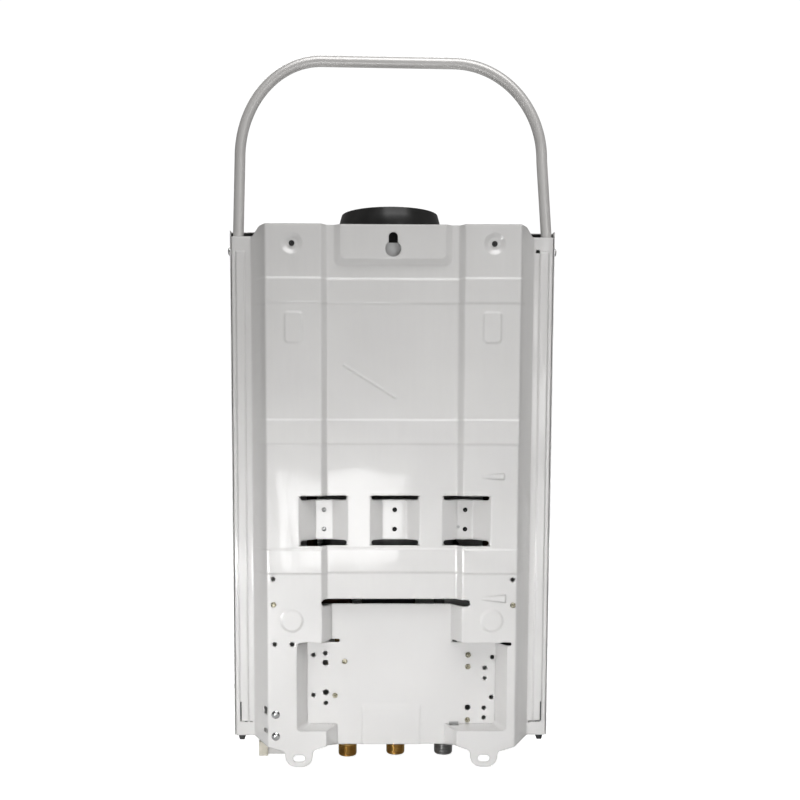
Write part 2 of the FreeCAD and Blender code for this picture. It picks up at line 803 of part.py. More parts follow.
def tube_rows():
    first = chamber_front + 16.0
    step = (chamber_rear - 16.0 - first) / 3
    return [first + index * step for index in range(4)]


def combustion_chamber():
    shell = chamber_layer(0.0, 0.0).cut(chamber_layer(1.0, 5.0))
    height = (fin_bottom + fin_top) / 2
    holes = [Part.makeCylinder(pipe_radius + 0.3, 220, Vector(-110, y, height), across) for y in tube_rows()]
    return shell.cut(holes)


def fin_core():
    """Finned tube: plate fins brazed on one serpentine pipe."""
    height = (fin_bottom + fin_top) / 2
    rows = tube_rows()
    reach = fin_pipe_reach
    edges = []
    for index, y in enumerate(rows):
        heading = -1 if index % 2 else 1
        edges.append(Part.makeLine(Vector(-heading * reach, y, height), Vector(heading * reach, y, height)))
        if index < len(rows) - 1:
            following = rows[index + 1]
            radius = (following - y) / 2
            bend_middle = Vector(heading * (reach + radius), y + radius, height)
            edges.append(Part.Arc(Vector(heading * reach, y, height), bend_middle,
                                  Vector(heading * reach, following, height)).toShape())
    path = Part.Wire(Part.__sortEdges__(edges))
    pipe = swept(path, pipe_radius)
    pitch = (2 * chamber_half - 14.0) / (fin_count - 1)
    fins = []
    for index in range(fin_count):
        x = -chamber_half + 7.0 + index * pitch
        fins.append(box(x - fin_thickness / 2, x + fin_thickness / 2, chamber_front + 3.0, chamber_rear - 3.0,
                        fin_bottom, fin_top))
    return pipe.fuse(fins).cut(swept(path, pipe_radius - pipe_wall))


def bent_pipe(points, radius, bend):
    """Hollow pipe through points, with tangent arcs at the corners."""
    edges = []
    last = points[0]
    for index in range(1, len(points) - 1):
        corner = points[index]
        back = (points[index - 1] - corner).normalize()
        on = (points[index + 1] - corner).normalize()
        half = back.getAngle(on) / 2
        reach = bend / math.tan(half)
        inward = (back + on).normalize()
        middle = corner + inward * (bend / math.sin(half) - bend)
        start = corner + back * reach
        end = corner + on * reach
        edges.append(Part.makeLine(last, start))
        edges.append(Part.Arc(start, middle, end).toShape())
        last = end
    edges.append(Part.makeLine(last, points[-1]))
    return swept(Part.Wire(edges), radius, radius - pipe_wall)


def water_coil():
    """Pipe that takes the cold water twice round the chamber and up to the fins."""
    side = chamber_half + pipe_radius
    rear = chamber_rear + pipe_radius
    front = chamber_front - pipe_radius
    low = chamber_bottom + 25.0
    high = chamber_bottom + 62.0
    fins = (fin_bottom + fin_top) / 2
    cold_x = fitting_places()[2]
    far = -side - 14.0
    row = tube_rows()[0]
    points = [
        Vector(cold_x, coil_start_y, valve_top),
        Vector(cold_x, coil_start_y, valve_top + 24.0),
        Vector(side, coil_start_y, valve_top + 24.0),
        Vector(side, coil_start_y, low),
        Vector(side, front, low),
        Vector(-side, front, low),
        Vector(-side, rear, low),
        Vector(side, rear, low),
        Vector(side, rear, high),
        Vector(side, front, high),
        Vector(far, front, high),
        Vector(far, row, high),
        Vector(far, row, fins),
        Vector(-fin_pipe_reach, row, fins),
    ]
    return bent_pipe(points, pipe_radius, pipe_bend)


def hot_pipe():
    """Pipe from the fins down to the hot outlet."""
    x = fitting_places()[1]
    fins = (fin_bottom + fin_top) / 2
    left = -chamber_half - 24.0
    y = tube_rows()[3]
    points = [Vector(-fin_pipe_reach, y, fins), Vector(left, y, fins), Vector(left, y, valve_top + 12.0),
              Vector(x, fitting_y, valve_top + 12.0), Vector(x, fitting_y, fitting_top)]
    return bent_pipe(points, pipe_radius, pipe_bend)


def fitting(x, end):
    """Male pipe end with a hexagon above it."""
    pipe = Part.makeCylinder(thread_radius, fitting_top - end, Vector(x, fitting_y, end), upward)
    corners = []
    for index in range(6):
        angle = math.radians(60 * index + 30)
        corners.append(Vector(x + hexagon_radius * math.cos(angle), fitting_y + hexagon_radius * math.sin(angle),
                              hexagon_bottom))
    hexagon = Part.Face(Part.makePolygon(corners + [corners[0]])).extrude(Vector(0, 0, hexagon_height))
    bore = Part.makeCylinder(fitting_bore, fitting_top - end + 3.0, Vector(x, fitting_y, end - 1.0), upward)
    return pipe.fuse(hexagon).removeSplitter().cut(bore)


def grooved_fitting(x, end):
    """The same pipe end with a shoulder and a groove turned below the hexagon."""
    groove_bottom = groove_top - groove_height
    shoulder_height = hexagon_bottom - groove_top + 1.0
    shoulder = Part.makeCylinder(shoulder_radius, shoulder_height, Vector(x, fitting_y, groove_top), upward)
    bore = Part.makeCylinder(fitting_bore, shoulder_height, Vector(x, fitting_y, groove_top), upward)
    ring = Part.makeCylinder(shoulder_radius + 1.0, groove_height, Vector(x, fitting_y, groove_bottom), upward)
    core = Part.makeCylinder(groove_radius, groove_height, Vector(x, fitting_y, groove_bottom), upward)
    return fitting(x, end).fuse(shoulder.cut(bore)).removeSplitter().cut(ring.cut(core))


def valve_block(x0, x1, z0, z1):
    block = box(x0, x1, valve_front, valve_rear, z0, z1)
    upright = [edge for edge in block.Edges if abs(edge.tangentAt(0).z) > 0.9]
    return block.makeFillet(5.0, upright)


def gas_valve():
    """Die-cast gas valve with a side arm for the season selector."""
    gas_x, middle_x, cold_x = fitting_places()
    body = valve_block(gas_x - valve_half, gas_x + valve_half, valve_bottom, valve_top)
    arm = box(gas_x, middle_x + 14.0, valve_front + 4.0, valve_rear - 22.0, knob_height - 14.0, knob_height + 14.0)
    body = body.fuse(arm).removeSplitter().cut(inlet_bore(gas_x))
    for x in (gas_x, middle_x):
        body = body.cut(spindle_bore(x))
    riser = box(gas_x - 8.0, gas_x + 8.0, manifold_y - 6.0, valve_front, valve_top - 12.0, valve_top)
    return body.fuse(riser).removeSplitter()


def inlet_bore(x):
    """Way through a valve, in line with the fitting below it."""
    return rod(fitting_bore, Vector(x, fitting_y, valve_bottom - 1.0), Vector(x, fitting_y, valve_top - 10.0))


def spindle_bore(x):
    start = Vector(x, cover_front - 30, knob_height)
    end = Vector(x, spindle_end + 1.0, knob_height)
    return rod(spindle_radius + spindle_gap, start, end)


def manifold():
    """Gas rail in front of the burner with its riser and nozzle seats."""
    gas_x = fitting_places()[0]
    half = blade_pitch * (blade_count - 1) / 2 + 8.0
    rail = box(-half, half, manifold_y - 6.0, manifold_y + 6.0, manifold_height - 6.0, manifold_height + 6.0)
    riser = box(gas_x - 6.0, gas_x + 6.0, manifold_y - 6.0, manifold_y + 6.0, valve_top, manifold_height)
    rail = rail.fuse(riser).removeSplitter()
    for x in blade_places():
        rail = rail.cut(Part.makeCylinder(2.5, 8.0, Vector(x, manifold_y, manifold_height), wallward))
    return rail


def blade_places():
    return [(index - (blade_count - 1) / 2) * blade_pitch for index in range(blade_count)]


def nozzles():
    pieces = []
    for x in blade_places():
        seat = Vector(x, manifold_y + 2.0, manifold_height)
        stem = Part.makeCylinder(2.5, 4.0, seat, wallward)
        nut = Part.makeCylinder(3.6, 3.0, seat + wallward * 4.0, wallward)
        tip = Part.makeCone(2.6, 1.2, 3.0, seat + wallward * 7.0, wallward)
        pieces.append(stem.fuse([nut, tip]).removeSplitter())
    return group(pieces)


def burner_blades():
    """Row of flat burner tubes, each with a mixing tube towards its nozzle."""
    pieces = []
    for x in blade_places():
        body = box(x - blade_thickness / 2, x + blade_thickness / 2, -118.0, -44.0, blade_bottom, blade_top)
        top = [edge for edge in body.Edges if edge.CenterOfMass.z > blade_top - 1 and abs(edge.tangentAt(0).y) > 0.9]
        body = body.makeFillet(3.0, top)
        mouth = Part.makeCone(5.2, 4.0, 9.0, Vector(x, -125.5, manifold_height), wallward)
        throat = Part.makeCone(4.2, 3.0, 9.5, Vector(x, -126.0, manifold_height), wallward)
        inner = blade_thickness / 2 - blade_wall
        hollow = box(x - inner, x + inner, -118.0 + blade_wall, -44.0 - blade_wall, blade_bottom + blade_wall,
                     blade_top - 3.0)
        groove = box(x - 1.2, x + 1.2, -112.0, -50.0, blade_top - 8.0, blade_top + 1)
        pieces.append(body.fuse(mouth).cut([hollow, throat, groove]).removeSplitter())
    return group(pieces)


def burner_frame():
    """Sheet cradle that holds the blades, with a front and rear cross bar."""
    half = blade_pitch * (blade_count - 1) / 2 + blade_thickness / 2 + 2.0
    cradle = box(-half - 1.2, half + 1.2, -121.2, -41.0, blade_bottom - 4.0, blade_top + 8.0)
    hollow = box(-half, half, -120.0, -42.2, blade_bottom, blade_top + 20.0)
    cradle = cradle.cut(hollow)
    for x in blade_places():
        opening = Part.makeCylinder(6.2, 20, Vector(x, -130, manifold_height), wallward)
        cradle = cradle.cut(opening)
    window = box(-half + 6, half - 6, -114.0, -48.0, blade_bottom - 10.0, blade_bottom + 0.5)
    rails = [box(x - 2.0, x + 2.0, -116.0, -46.0, blade_bottom - 10, blade_bottom + 1) for x in blade_places()]
    cradle = cradle.cut(window.cut(rails))
    foot_end = strap_level - sheet - 1.5
    foot = box(-half + 10, half - 10, -42.2, foot_end, foot_height, foot_height + 1.2)
    web = box(-half + 10, half - 10, -42.2, -41.0, blade_top, foot_height + 1.2)
    return cradle.fuse([foot, web]).removeSplitter()


def chamber_bracket():
    """Cross member riveted behind the three bridges; it carries burner and chamber."""
    rear = strap_level - sheet
    bar = box(-100.0, 96.0, rear - 1.5, rear, 228.0, 262.0)
    shelf = box(-72.0, 72.0, chamber_rear, rear, 276.5, 278.0)
    lip = box(-72.0, 72.0, chamber_rear, chamber_rear + 1.2, 276.5, 290.0)
    risers = []
    for index in (-1, 1):
        x = strap_middle_x + index * strap_pitch / 2
        risers.append(box(x - 6.0, x + 6.0, rear - 1.5, rear, 260.0, 278.0))
    bracket = bar.fuse([shelf, lip] + risers).removeSplitter()
    for x, z in strap_rivet_places():
        bracket = bracket.cut(hole_through(x, z, screw_hole))
    return bracket


def valve_bracket(screws, holes, x0, x1, z0, z1, arm_x0, arm_x1, arm_z):
    """Angle bracket screwed behind the recess, reaching forward to a valve."""
    rear = recess_level - sheet
    plate = box(x0, x1, rear - 1.5, rear, z0, z1)
    arm = box(arm_x0, arm_x1, valve_rear, rear, arm_z, arm_z + 1.5)
    tab = box(arm_x0, arm_x1, valve_rear, valve_rear + 1.5, arm_z - 18.0, arm_z + 1.5)
    bracket = plate.cut([hole_through(x, z, radius + 1.5) for x, z, radius in holes]).fuse([arm, tab])
    bracket = bracket.removeSplitter()
    for x, z in screws:
        bracket = bracket.cut(hole_through(x, z, screw_hole))
    return bracket


def water_valve():
    """Brass valve: a column over the inlet with a foot and an arm, and the round chamber on its side."""
    cold_x = fitting_places()[2]
    x0 = cold_x - valve_half
    x1 = cold_x + valve_half
    column_front = fitting_y - 15.0
    column = box(x0, x1, column_front, valve_rear, valve_bottom, valve_top)
    arm = box(x0, x1, valve_front, column_front, knob_height - 15.0, valve_top)
    foot = box(x0, x1, drain_y - 9.0, column_front, valve_bottom, valve_bottom + 14.0)
    drum = rod(drum_radius, Vector(diaphragm_x, diaphragm_y, diaphragm_height),
               Vector(x0 + 2.0, diaphragm_y, diaphragm_height))
    hollow = rod(drum_radius - chamber_wall, Vector(diaphragm_x, diaphragm_y, diaphragm_height),
                 Vector(diaphragm_x + 8.0, diaphragm_y, diaphragm_height))
    body = column.fuse([arm, foot, drum]).removeSplitter()
    way_height = valve_top - 10.0
    over = rod(pipe_radius - pipe_wall, Vector(cold_x, fitting_y, way_height), Vector(cold_x, coil_start_y, way_height))
    up = rod(pipe_radius - pipe_wall, Vector(cold_x, coil_start_y, way_height),
             Vector(cold_x, coil_start_y, valve_top + 1.0))
    return body.cut([hollow, inlet_bore(cold_x), over, up, spindle_bore(cold_x)])


def valve_cover():
    """Cap that clamps the diaphragm, with the push rod's bush."""
    back = diaphragm_x - 1.5
    cap = rod(drum_radius, Vector(6.0, diaphragm_y, diaphragm_height),
              Vector(back, diaphragm_y, diaphragm_height))
    cavity = rod(drum_radius - chamber_wall, Vector(11.0, diaphragm_y, diaphragm_height),
                 Vector(back + 1, diaphragm_y, diaphragm_height))
    bush = rod(6.5, Vector(-1.0, diaphragm_y, diaphragm_height), Vector(8.0, diaphragm_y, diaphragm_height))
    bore = rod(rod_radius + spindle_gap, Vector(-5.0, diaphragm_y, diaphragm_height),
               Vector(30.0, diaphragm_y, diaphragm_height))
    return cap.fuse(bush).removeSplitter().cut([cavity, bore])


def diaphragm():
    centre = Vector(diaphragm_x - 1.5, diaphragm_y, diaphragm_height)
    return rod(drum_radius - 0.5, centre, centre + across * 1.5)


def push_rod():
    """Disc behind the diaphragm and the rod that leaves through the bush."""
    disc_start = Vector(diaphragm_x - 4.35, diaphragm_y, diaphragm_height)
    disc = rod(15.0, disc_start, disc_start + across * 2.8)
    shaft = rod(rod_radius, Vector(rod_tip_x, diaphragm_y, diaphragm_height), disc_start + across * 0.5)
    return disc.fuse(shaft).removeSplitter()


def microswitch():
    """Switch body with the two cheeks that hold its lever."""
    body = box(-34.0, -22.0, diaphragm_y - 5.0, diaphragm_y + 5.0, 44.0, 72.0)
    cheek = box(-23.0, lever_pivot_x + 3.0, diaphragm_y - 5.0, diaphragm_y - 3.6, 62.0, 70.0)
    other = box(-23.0, lever_pivot_x + 3.0, diaphragm_y + 3.6, diaphragm_y + 5.0, 62.0, 70.0)
    body = body.fuse([cheek, other]).removeSplitter()
    start = Vector(lever_pivot_x, diaphragm_y - 8, lever_pivot_height)
    return body.cut(Part.makeCylinder(1.0 + spindle_gap, 16, start, wallward))


def switch_lever():
    """Pressed lever on its pin, moved by the push rod."""
    pin = Part.makeCylinder(1.0, 10.0, Vector(lever_pivot_x, diaphragm_y - 5.0, lever_pivot_height), wallward)
    eye = Part.makeCylinder(2.2, 6.4, Vector(lever_pivot_x, diaphragm_y - 3.2, lever_pivot_height), wallward)
    blade = box(lever_face_x - 1.0, lever_face_x, diaphragm_y - 3.2, diaphragm_y + 3.2, 42.5, 66.0)
    web = box(lever_pivot_x, lever_face_x, diaphragm_y - 3.2, diaphragm_y + 3.2, 65.0, 67.0)
    return pin.fuse([eye, blade, web]).removeSplitter()


def switch_bracket():
    """Strip from the gas valve that carries the microswitch."""
    gas_x = fitting_places()[0]
    strip = box(gas_x + valve_half, -21.0, diaphragm_y - 6.0, diaphragm_y + 6.0, 40.0, 41.5)
    riser = box(gas_x + valve_half, gas_x + valve_half + 1.5, diaphragm_y - 6.0, diaphragm_y + 6.0, 30.0, 41.5)
    seat = box(-34.0, -22.0, diaphragm_y - 4.0, diaphragm_y + 4.0, 41.5, 44.0)
    return strip.fuse([riser, seat]).removeSplitter()


def knob(x):
    """Round control knob with finger grooves and a pointer, fixed on its spindle."""
    rear = cover_front - knob_gap - 1.2
    front = rear - knob_depth
    outward = wallward * -1
    grip = knob_radius - 4.0
    skirt = Part.makeCone(knob_radius, knob_radius - 1.5, 7.0, Vector(x, rear, knob_height), outward)
    cup = Part.makeCylinder(grip, knob_depth - 8.5, Vector(x, rear - 7.0, knob_height), outward)
    crown = Part.makeCone(grip, grip - 1.5, 1.5, Vector(x, front + 1.5, knob_height), outward)
    body = skirt.fuse([cup, crown]).removeSplitter()
    flutes = []
    for index in range(knob_flutes):
        angle = 2 * math.pi * (index + 0.5) / knob_flutes
        reach = grip + 1.4
        centre = Vector(x + reach * math.cos(angle), front - 1.0, knob_height + reach * math.sin(angle))
        flutes.append(Part.makeCylinder(2.4, knob_depth - 6.0, centre, wallward))
    pointer = box(x - 1.2, x + 1.2, front - 0.8, front + 2.0, knob_height + 3.0, knob_height + grip - 2.5)
    socket = Part.makeCylinder(spindle_radius, 12.0, Vector(x, rear + 1.0, knob_height), outward)
    return body.cut(flutes).fuse(pointer).cut(socket).removeSplitter()


def spindle(x):
    """Valve spindle with its plug end inside the valve."""
    rear = cover_front - knob_gap - 1.2
    return rod(spindle_radius, Vector(x, rear - 10.9, knob_height), Vector(x, spindle_end, knob_height))


def observation_window():
    """Glass behind the slot in the cover, and its frame."""
    glass = prism_on_wall(rectangle(-window_half + 0.5, window_half - 0.5, window_low + 0.5, window_high - 0.5, 8.5),
                          cover_front - 0.4, 2.4)
    back = cover_front + cover_sheet
    rim = prism_on_wall(rectangle(-window_half - 6, window_half + 6, window_low - 6, window_high + 6, 12.0),
                        back, 2.4)
    hole = prism_on_wall(rectangle(-window_half + 5, window_half - 5, window_low + 5, window_high - 5, 4.0),
                         back - 5, 20)
    return glass, rim.cut([glass, hole])


def display_parts():
    """Temperature display: housing behind the cover and a clear lens in its opening."""
    lens = prism_on_wall(rectangle(-display_half + 0.4, display_half - 0.4, display_low + 0.4, display_high - 0.4, 2.6),
                         cover_front - 0.8, 0.8 + cover_sheet)
    back = cover_front + cover_sheet
    housing = prism_on_wall(rectangle(-display_half - 5, display_half + 5, display_low - 4, display_high + 4, 3.0),
                            back, 10.0)
    return lens, housing


def electrode(x, y, length):
    """Ceramic insulator with its wire, held by a clip plate."""
    base = Vector(x, y, blade_top - 18.0)
    body = Part.makeCylinder(2.6, 22.0, base, upward)
    collar = Part.makeCylinder(3.8, 4.0, base + upward * 8, upward)
    wire = Part.makeCylinder(0.8, length, base + upward * 21.0, upward)
    return body.fuse([collar, wire]).removeSplitter()


def electrode_bracket():
    """Plate on the burner frame with holes for the electrodes."""
    plate = box(-30.0, 30.0, -130.0, -121.2, blade_top - 12.0, blade_top - 10.8)
    tab = box(-30.0, 30.0, -122.4, -121.2, blade_top - 12.0, blade_top + 4.0)
    bracket = plate.fuse(tab).removeSplitter()
    for x in electrode_places():
        bracket = bracket.cut(Part.makeCylinder(2.8, 10, Vector(x, electrode_y, blade_top - 16), upward))
    return bracket


def electrode_places():
    return [-20.0, 0.0, 20.0]


def ignition_box():
    """Pulse igniter in a plastic case, on two feet."""
    body = box(-150.0, -118.0, -120.0, -50.0, 60.0, 130.0)
    upright = [edge for edge in body.Edges if abs(edge.tangentAt(0).z) > 0.9]
    body = body.makeFillet(4.0, upright)
    x, z = rim_screws[1]
    tab = box(x - 2.0, x + 10.0, -sheet - 1.5, -sheet, 122.0, z + 6.0)
    arm = box(x - 2.0, x + 10.0, -55.0, -sheet, 122.0, 123.5)
    return body.fuse([arm, tab]).removeSplitter().cut(hole_through(x, z, screw_hole))


def solenoid():
    """Gas safety solenoid on the side of the gas valve."""
    gas_x = fitting_places()[0]
    coil = rod(12.0, Vector(gas_x - valve_half, -78.0, 40.0), Vector(gas_x - 52.0, -78.0, 40.0))
    cap = rod(6.0, Vector(gas_x - 52.0, -78.0, 40.0), Vector(gas_x - 56.0, -78.0, 40.0))
    flange = rod(15.0, Vector(gas_x - valve_half, -78.0, 40.0), Vector(gas_x - valve_half - 3.0, -78.0, 40.0))
    return coil.fuse([cap, flange]).removeSplitter()


def thermostat():
    """Overheat switch clipped on the chamber's top edge."""
    seat = Vector(40.0, chamber_front, 358.0)
    disc = Part.makeCylinder(8.0, 6.0, seat, wallward * -1)
    plate = box(28.0, 52.0, chamber_front - 1.2, chamber_front, 352.0, 364.0)
    return disc.fuse(plate).removeSplitter()


def drain_plug():
    """Drain plug below the water valve, with a knurled head."""
    stem = Part.makeCylinder(4.0, valve_bottom + 6.2, Vector(drain_x(), drain_y, -6.2), upward)
    head = Part.makeCylinder(7.0, 9.0, Vector(drain_x(), drain_y, -15.0), upward)
    return stem.fuse(head).removeSplitter()


def battery_sleeve():
    """Fixed sleeve that the tray slides in, open below."""
    wall = 1.6
    gap = tray_gap
    rear = tray_rear - tray_step
    outer = box(tray_right - gap - wall, tray_left + gap + wall, tray_front - gap - wall, rear + gap + wall,
                cover_bottom + 4.0, tray_top + 6.0)
    inner = box(tray_right - gap, tray_left + gap, tray_front - gap, rear + gap, cover_bottom, tray_top + 4.0)
    x0 = corner_rivets[0][0] - 6.0
    x1 = corner_rivets[0][0] + 6.0
    tab = box(x0, x1, -sheet - 1.5, -sheet, cover_bottom, 44.0)
    arm = box(x0, x1, rear + gap + wall / 2, -sheet, 24.0, 25.5)
    sleeve = outer.cut(inner).fuse([tab, arm]).removeSplitter()
    for x, z in corner_rivets:
        sleeve = sleeve.cut(hole_through(x, z, screw_hole))
    return sleeve


def battery_tray():
    """Drawer for two cells, with a wider cap below."""
    rear = tray_rear - tray_step
    body = box(tray_right, tray_left, tray_front, rear, tray_cap_top - 1.0, tray_top)
    cap = box(tray_right, tray_left, tray_front, tray_rear, tray_bottom, tray_cap_top)
    hollow = box(tray_right + tray_wall, tray_left - tray_wall, tray_front + tray_wall, rear - tray_wall,
                 tray_top - cell_height - 1.2, tray_top + 1.0)
    side_cut = box(tray_right - 1.0, tray_right + 10.0, tray_front + 8.0, rear - 8.0, 10.0, tray_top + 1)
    return body.fuse(cap).cut([hollow, side_cut]).removeSplitter()


def tray_grip():
    """Rounded grip on the rear of the drawer's cap."""
    grip = box(tray_left - grip_width, tray_left, tray_rear, tray_rear + tray_step, grip_bottom, grip_top)
    rims = [edge for edge in grip.Edges if edge.CenterOfMass.y > tray_rear + tray_step - 0.1]
    return grip.makeFillet(grip_round, rims)


def batteries():
    """Two cells standing side by side in the tray."""
    x = (tray_left + tray_right) / 2
    middle = (tray_rear - tray_step + tray_front) / 2
    pieces = []
    for shift in (-1, 1):
        base = Vector(x, middle + shift * (cell_radius + 0.3), tray_top - cell_height - 1.0)
        can = Part.makeCylinder(cell_radius, cell_height - 2.0, base, upward)
        nub = Part.makeCylinder(4.5, 1.8, base + upward * (cell_height - 2.0), upward)
        pieces.append(can.fuse(nub).removeSplitter())
    return group(pieces)


def flange_seals():
    """Rubber strips between flange and cover; their lower ends stand out below."""
    rear = -flank_depth - sheet
    outline = [(seal_inner + 1.8, seal_bottom, 0), (seal_outer - 1.0, seal_bottom, 0), (seal_outer, flange_bottom, 0),
               (seal_outer, seal_top, 0), (seal_inner, seal_top, 0), (seal_inner, flange_bottom, 0)]
    return pair(prism_on_wall(outline, rear - seal_thickness, seal_thickness))


def plate_screw(x, seat, z, length):
    """Small pan head screw with a cross recess."""
    whole = screw(Vector(x, seat, z), wallward * -1, length, screw_head, 1.8)
    reach = screw_head * 0.6
    level = box(x - reach, x + reach, seat + 0.9, seat + 2.0, z - 0.45, z + 0.45)
    upright = box(x - 0.45, x + 0.45, seat + 0.9, seat + 2.0, z - reach, z + reach)
    return whole.cut([level, upright])


def rivet(x, z, seat, length, radius, height):
    """Domed rivet head with its shank."""
    ball = (radius * radius + height * height) / (2 * height)
    dome = Part.makeSphere(ball, Vector(x, seat + height - ball, z)).common(
        Part.makeCylinder(radius, height, Vector(x, seat, z), wallward))
    shank = Part.makeCylinder(rivet_shank, length, Vector(x, seat, z), wallward * -1)
    return dome.fuse(shank).removeSplitter()


def blind_rivet(x, z):
    """Rivet of a bridge, hollow where its mandrel broke off."""
    head = rivet(x, z, strap_level, 4.0, blind_rivet_radius, 1.0)
    return head.cut(rod(blind_rivet_bore, Vector(x, strap_level - 2.0, z), Vector(x, strap_level + 2.0, z)))


def build():
    save("back_plate", back_plate())
    save("front_cover", front_cover())
    save("handle_tube", handle_tube())
    save("handle_screws", handle_screws())
    save("cover_screws", cover_screws())
    save("flange_seals", flange_seals())
    save("flue_collar", flue_collar())
    save("flue_hood", flue_hood())
    save("combustion_chamber", combustion_chamber())
    save("fin_core", fin_core())
    save("water_coil", water_coil())
    save("hot_pipe", hot_pipe())
    save("burner_blades", burner_blades())
    save("burner_frame", burner_frame())
    save("gas_manifold", manifold())
    save("gas_nozzles", nozzles())
    save("gas_valve_body", gas_valve())
    save("gas_solenoid", solenoid())
    save("water_valve_body", water_valve())
    save("water_valve_cover", valve_cover())
    save("valve_diaphragm", diaphragm())
    save("valve_push_rod", push_rod())
    save("microswitch", microswitch())
    save("switch_lever", switch_lever())
    save("switch_bracket", switch_bracket())
    save("drain_plug", drain_plug())
    gas_x, hot_x, cold_x = fitting_places()
    save("gas_inlet_fitting", fitting(gas_x, fitting_end))
    save("hot_outlet_fitting", fitting(hot_x, fitting_end))
    save("cold_inlet_fitting", grooved_fitting(cold_x, cold_fitting_end))
    for name, x in (("gas", gas_x), ("season", hot_x), ("water", cold_x)):
        save(name + "_knob", knob(x))
        save(name + "_spindle", spindle(x))
    save("spark_electrodes", group([electrode(x, electrode_y, 12.0) for x in electrode_places()[:2]]))
    save("flame_sensor", electrode(electrode_places()[2], electrode_y, 18.0))
    save("electrode_bracket", electrode_bracket())
    save("ignition_box", ignition_box())
    save("overheat_switch", thermostat())
    glass, frame = observation_window()
    save("window_glass", glass)
    save("window_frame", frame)
    lens, housing = display_parts()
    save("display_lens", lens)
    save("display_housing", housing)
    save("chamber_bracket", chamber_bracket())
    water_bracket = valve_bracket(left_screws, left_holes, 44.0, 90.0, 36.0, 104.0, 44.0, 60.0, 70.0)
    gas_bracket = valve_bracket(right_screws, right_holes, -112.0, -46.0, 19.0, 104.0, -72.0, -46.0, 60.0)
    save("water_valve_bracket", water_bracket)
    save("gas_valve_bracket", gas_bracket)
    save("battery_sleeve", battery_sleeve())
    save("battery_tray", battery_tray())
    save("tray_grip", tray_grip())
    save("batteries", batteries())
    rim = [plate_screw(x, 0.0, z, 6.0) for x, z in rim_screws]
    recess = [plate_screw(x, recess_level, z, 5.0) for x, z in left_screws + right_screws]
    save("plate_screws", group(rim + recess))
    save("dimple_screws", group([plate_screw(x, -dimple_depth, z, 5.0) for x, z in dimple_places()]))
    save("corner_rivets", group([rivet(x, z, 0.0, 4.0, corner_rivet_radius, 2.2) for x, z in corner_rivets]))
    save("bridge_rivets", group([blind_rivet(x, z) for x, z in strap_rivet_places()]))


build()
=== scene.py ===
import json
import math

import bmesh
import bpy
from mathutils import Matrix, Vector


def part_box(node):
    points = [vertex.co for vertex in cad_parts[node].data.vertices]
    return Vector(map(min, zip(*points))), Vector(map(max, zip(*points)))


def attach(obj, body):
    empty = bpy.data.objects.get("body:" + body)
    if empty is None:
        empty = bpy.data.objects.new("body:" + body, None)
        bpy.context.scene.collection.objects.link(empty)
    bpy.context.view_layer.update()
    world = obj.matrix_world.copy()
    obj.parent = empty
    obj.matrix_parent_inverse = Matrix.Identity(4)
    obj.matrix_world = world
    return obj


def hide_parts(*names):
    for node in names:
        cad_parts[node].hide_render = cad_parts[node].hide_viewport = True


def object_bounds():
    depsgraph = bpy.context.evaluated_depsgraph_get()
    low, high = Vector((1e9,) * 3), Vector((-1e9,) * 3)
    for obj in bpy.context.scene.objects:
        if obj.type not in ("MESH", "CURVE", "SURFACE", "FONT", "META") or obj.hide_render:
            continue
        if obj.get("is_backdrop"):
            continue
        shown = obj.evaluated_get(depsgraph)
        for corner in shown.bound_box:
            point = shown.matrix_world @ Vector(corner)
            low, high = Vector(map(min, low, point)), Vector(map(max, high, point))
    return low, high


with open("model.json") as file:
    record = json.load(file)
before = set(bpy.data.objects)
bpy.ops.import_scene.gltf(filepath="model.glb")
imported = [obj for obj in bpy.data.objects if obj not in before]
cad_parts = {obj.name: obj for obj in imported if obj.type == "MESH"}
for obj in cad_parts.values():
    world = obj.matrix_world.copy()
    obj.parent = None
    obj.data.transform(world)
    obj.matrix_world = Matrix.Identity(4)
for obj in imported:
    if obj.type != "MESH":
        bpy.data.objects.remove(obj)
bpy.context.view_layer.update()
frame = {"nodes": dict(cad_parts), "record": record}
casing = "casing"

# Photograph's view: the camera faces the wall side, with heights from the hanging point
photo_size = 800
camera_place = Vector((0.0332, 1.0996, -0.1938))
camera_yaw = math.radians(-0.71)
camera_pitch = math.radians(5.13)
camera_roll = math.radians(0.12)
focal_pixels = 1040.7
view_centre = (373.9, 517.3)

# Rolled flue collar, metres: radii, and heights above the cover
collar_bore = 0.0493
collar_sheet = 0.0017
collar_rise = 0.025
skirt_foot = 0.0565
skirt_bends = ((0.0, 0.0), (0.0, 0.007), (0.0006, 0.012), (0.0016, 0.0175))
rim_inset = 0.0035
rim_roll = 0.001
rim_steps = 6
lip_width = 0.0012
lip_drop = 0.0006
lip_depth = 0.006
collar_facets = 128

# Pipe ends, metres
end_chamfer = 0.0006
lead_in = 0.0012
lead_step = 0.0005
lead_height = 0.0007
root_from, root_to, crest_from, crest_to = 0.3, 0.42, 0.72, 0.9
thread_crest = 0.0104775
thread_depth = 0.00116
thread_pitch = 0.001814
pipe_bore = 0.007
spigot_height = 0.009
hexagon_height = 0.012
hexagon_radius = 0.0139
shoulder_radius = 0.0112
groove_radius = 0.0092
groove_height = 0.0016
groove_below_hexagon = 0.0036
pipe_facets = 72

# Bent handle's centre line, a little uneven: places across and heights, metres
handle_radius = 0.0057
handle_top_left = (0.0757, 0.1851)
handle_top_right = (-0.0628, 0.1836)
handle_shoulder_left = (0.1615, 0.085)
handle_shoulder_right = (-0.158, 0.0843)
handle_foot = 0.1639
handle_foot_top = 0.008
bend_steps = 40
handle_facets = 32

# Bridge rivets: painted shade, nearly black up to the first place across, and bright from the second,
# metres
rivets_painted_shade_to = 0.03
rivets_bright_from = 0.04

